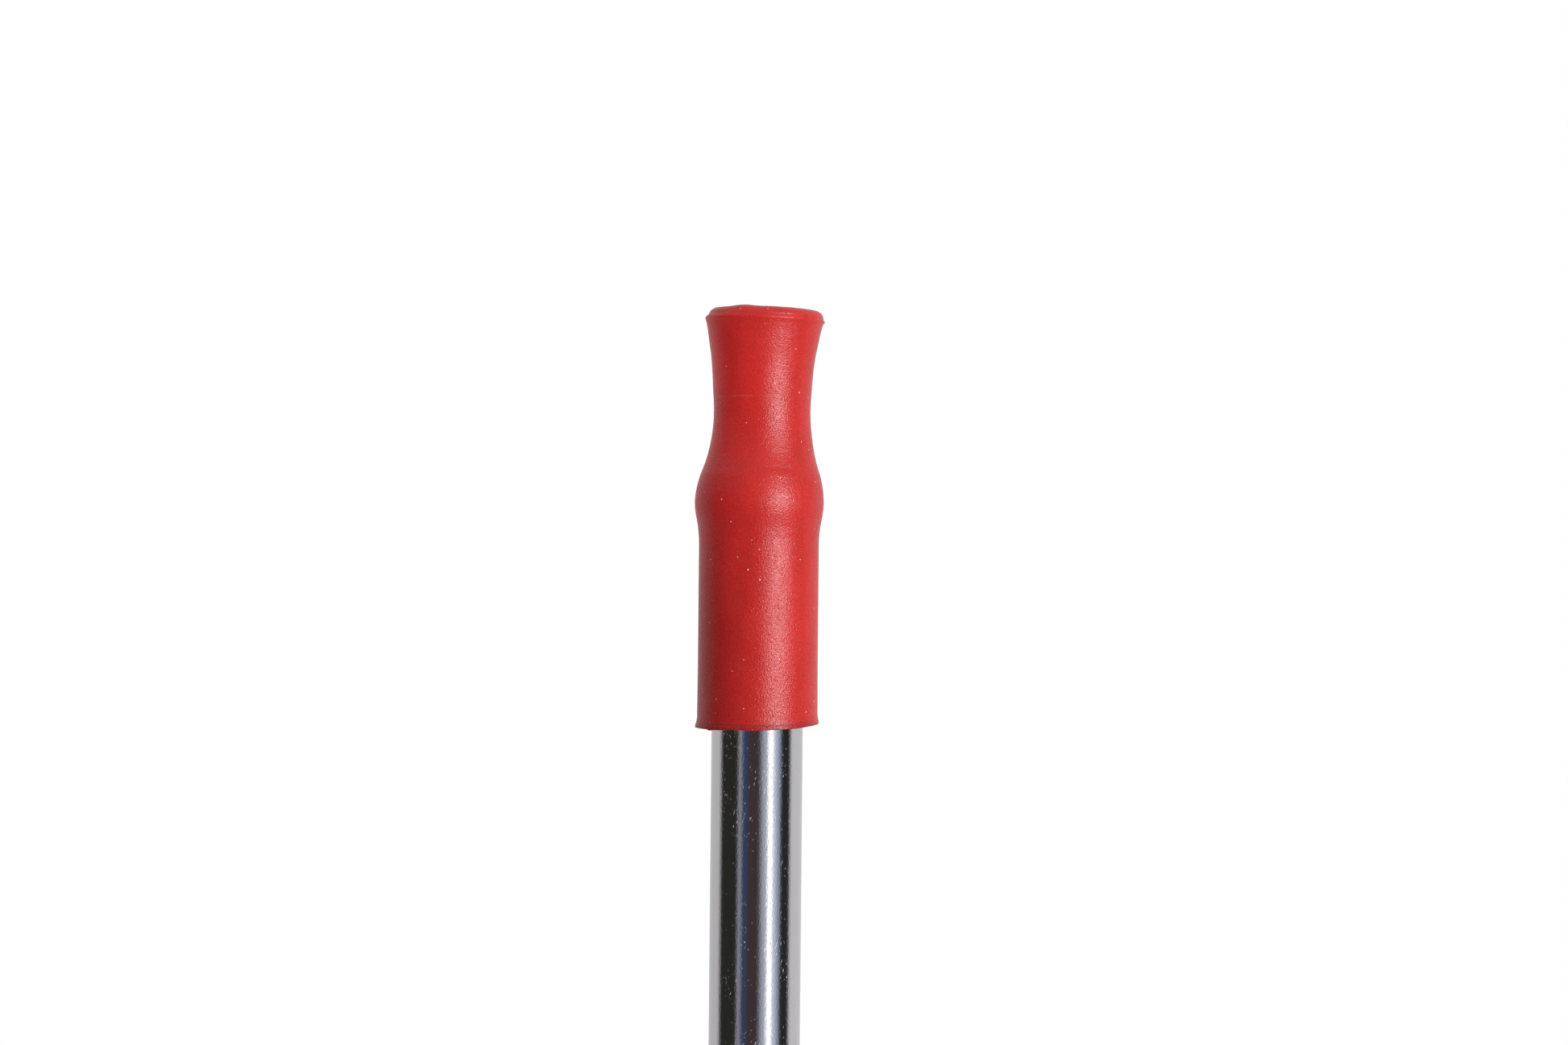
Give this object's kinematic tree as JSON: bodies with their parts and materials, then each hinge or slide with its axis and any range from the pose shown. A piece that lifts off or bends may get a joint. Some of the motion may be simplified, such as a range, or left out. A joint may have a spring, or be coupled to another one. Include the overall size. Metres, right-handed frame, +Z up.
{
  "type": "reusable drinking straw",
  "caption": "Straight metal drinking straw with a soft moulded mouth tip that pushes onto its upper end, bulges over the tube's end, narrows to a waist and flares out to a rolled lip.",
  "frame": {"origin": "centre of the tube's lower end, where the bore opens", "axes": "+Z up along the tube's axis, towards the mouth tip; the part is round, so +X and +Y are free"},
  "size_m": [0.0112, 0.0112, 0.2293],
  "materials": {
    "polished_steel": "drawn stainless steel polished to a mirror, with fine lengthwise draw lines and hairline scratches",
    "red_silicone": "opaque red food-grade silicone with a fine matt grain and soft sheen"
  },
  "bodies": {
    "straw": {"straw_tube": "polished_steel"},
    "tip": {"silicone_tip": "red_silicone"}
  },
  "joints": [
    {"name": "tip_pull_off", "type": "slide", "parent": "straw", "child": "tip", "axis": [0, 0, 1], "range_m": [0, 0.024]}
  ]
}
